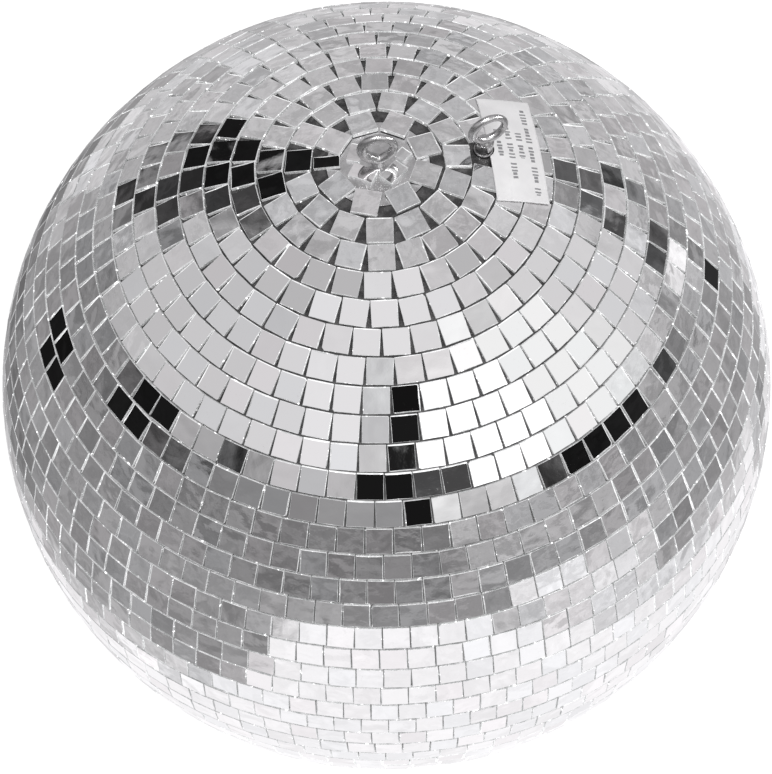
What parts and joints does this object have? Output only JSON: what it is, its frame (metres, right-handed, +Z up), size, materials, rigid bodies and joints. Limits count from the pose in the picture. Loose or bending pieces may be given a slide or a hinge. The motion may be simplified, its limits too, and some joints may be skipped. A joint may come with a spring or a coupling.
{
  "type": "mirror ball",
  "caption": "Hanging mirror ball: hollow plastic core covered in rows of small square glass mirrors, with a hanging eye, a second safety eye and a blank paper label.",
  "frame": {"origin": "centre of the hole in the hanging eye, where a hook or shackle passes through", "axes": "+Z up along the ball's axis, from its centre through the hanging eye; +X towards the side that has the safety eye and the label"},
  "size_m": [0.2902, 0.2902, 0.3044],
  "materials": {
    "mirror_glass": "back-silvered glass with frosted cut edges",
    "core_plastic": "dark moulded plastic with adhesive",
    "disc_steel": "zinc-plated sheet",
    "eye_steel": "bright zinc plating",
    "fastener_steel": "zinc plated",
    "label_paper": "matt white paper"
  },
  "bodies": {
    "root": {"mirror_row_01": "mirror_glass", "mirror_row_02": "mirror_glass", "mirror_row_03": "mirror_glass", "mirror_row_04": "mirror_glass", "mirror_row_05": "mirror_glass", "mirror_row_06": "mirror_glass", "mirror_row_07": "mirror_glass", "mirror_row_08": "mirror_glass", "mirror_row_09": "mirror_glass", "mirror_row_10": "mirror_glass", "mirror_row_11": "mirror_glass", "mirror_row_12": "mirror_glass", "mirror_row_13": "mirror_glass", "mirror_row_14": "mirror_glass", "mirror_row_15": "mirror_glass", "mirror_row_16": "mirror_glass", "mirror_row_17": "mirror_glass", "mirror_row_18": "mirror_glass", "mirror_row_19": "mirror_glass", "mirror_row_20": "mirror_glass", "mirror_row_21": "mirror_glass", "mirror_row_22": "mirror_glass", "mirror_row_23": "mirror_glass", "mirror_row_24": "mirror_glass", "mirror_row_25": "mirror_glass", "mirror_row_26": "mirror_glass", "mirror_row_27": "mirror_glass", "mirror_row_28": "mirror_glass", "mirror_row_29": "mirror_glass", "mirror_row_30": "mirror_glass", "mirror_row_31": "mirror_glass", "mirror_row_32": "mirror_glass", "mirror_row_33": "mirror_glass", "mirror_row_34": "mirror_glass", "mirror_row_35": "mirror_glass", "mirror_row_36": "mirror_glass", "mirror_row_37": "mirror_glass", "mirror_row_38": "mirror_glass", "mirror_row_39": "mirror_glass", "mirror_row_40": "mirror_glass", "mirror_row_41": "mirror_glass", "top_polar_tiles": "mirror_glass", "bottom_polar_tiles": "mirror_glass", "core_upper_shell": "core_plastic", "core_lower_shell": "core_plastic", "top_pole_disc": "disc_steel", "hanging_eye": "eye_steel", "hanging_eye_washer": "fastener_steel", "hanging_eye_nut": "fastener_steel", "safety_eye": "eye_steel", "safety_eye_collar": "eye_steel", "safety_eye_washer": "fastener_steel", "safety_eye_nut": "fastener_steel", "safety_label": "label_paper"}
  },
  "joints": []
}
